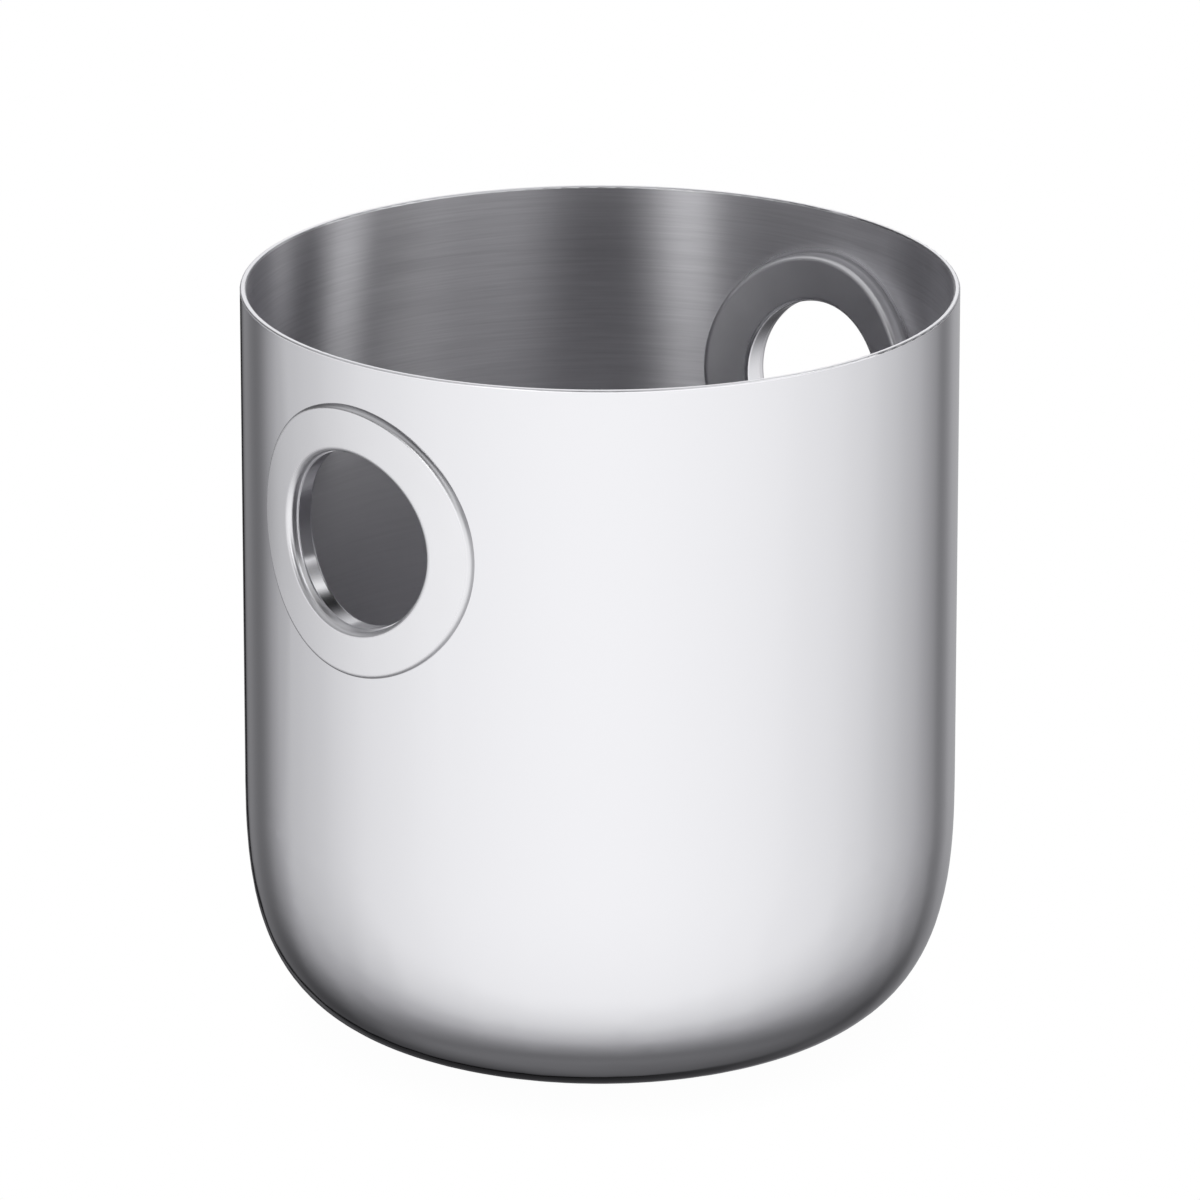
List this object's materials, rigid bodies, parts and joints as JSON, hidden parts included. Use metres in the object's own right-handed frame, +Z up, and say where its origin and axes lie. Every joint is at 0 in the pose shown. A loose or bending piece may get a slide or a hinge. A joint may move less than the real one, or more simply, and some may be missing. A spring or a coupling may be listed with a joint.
{
  "type": "champagne bucket",
  "caption": "Round open-topped steel bucket for ice and a bottle, with a softly curved lower corner and opposite round grip openings lined by collars.",
  "frame": {"origin": "centre of the flat underside of the base", "axes": "+Z up along the bucket's axis, grip openings facing -X (left) and +X (right)"},
  "size_m": [0.2036, 0.2, 0.2135],
  "materials": {
    "shell_steel": "mirror polished outside and on the rim, brushed round the axis inside",
    "collar_steel": "polished, a little softer than the wall, with a dull outer edge",
    "inner_collar_steel": "satin face, bore polished by use"
  },
  "bodies": {
    "root": {"bucket_shell": "shell_steel", "outer_collar_left": "collar_steel", "outer_collar_right": "collar_steel", "inner_collar_left": "inner_collar_steel", "inner_collar_right": "inner_collar_steel"}
  },
  "joints": []
}
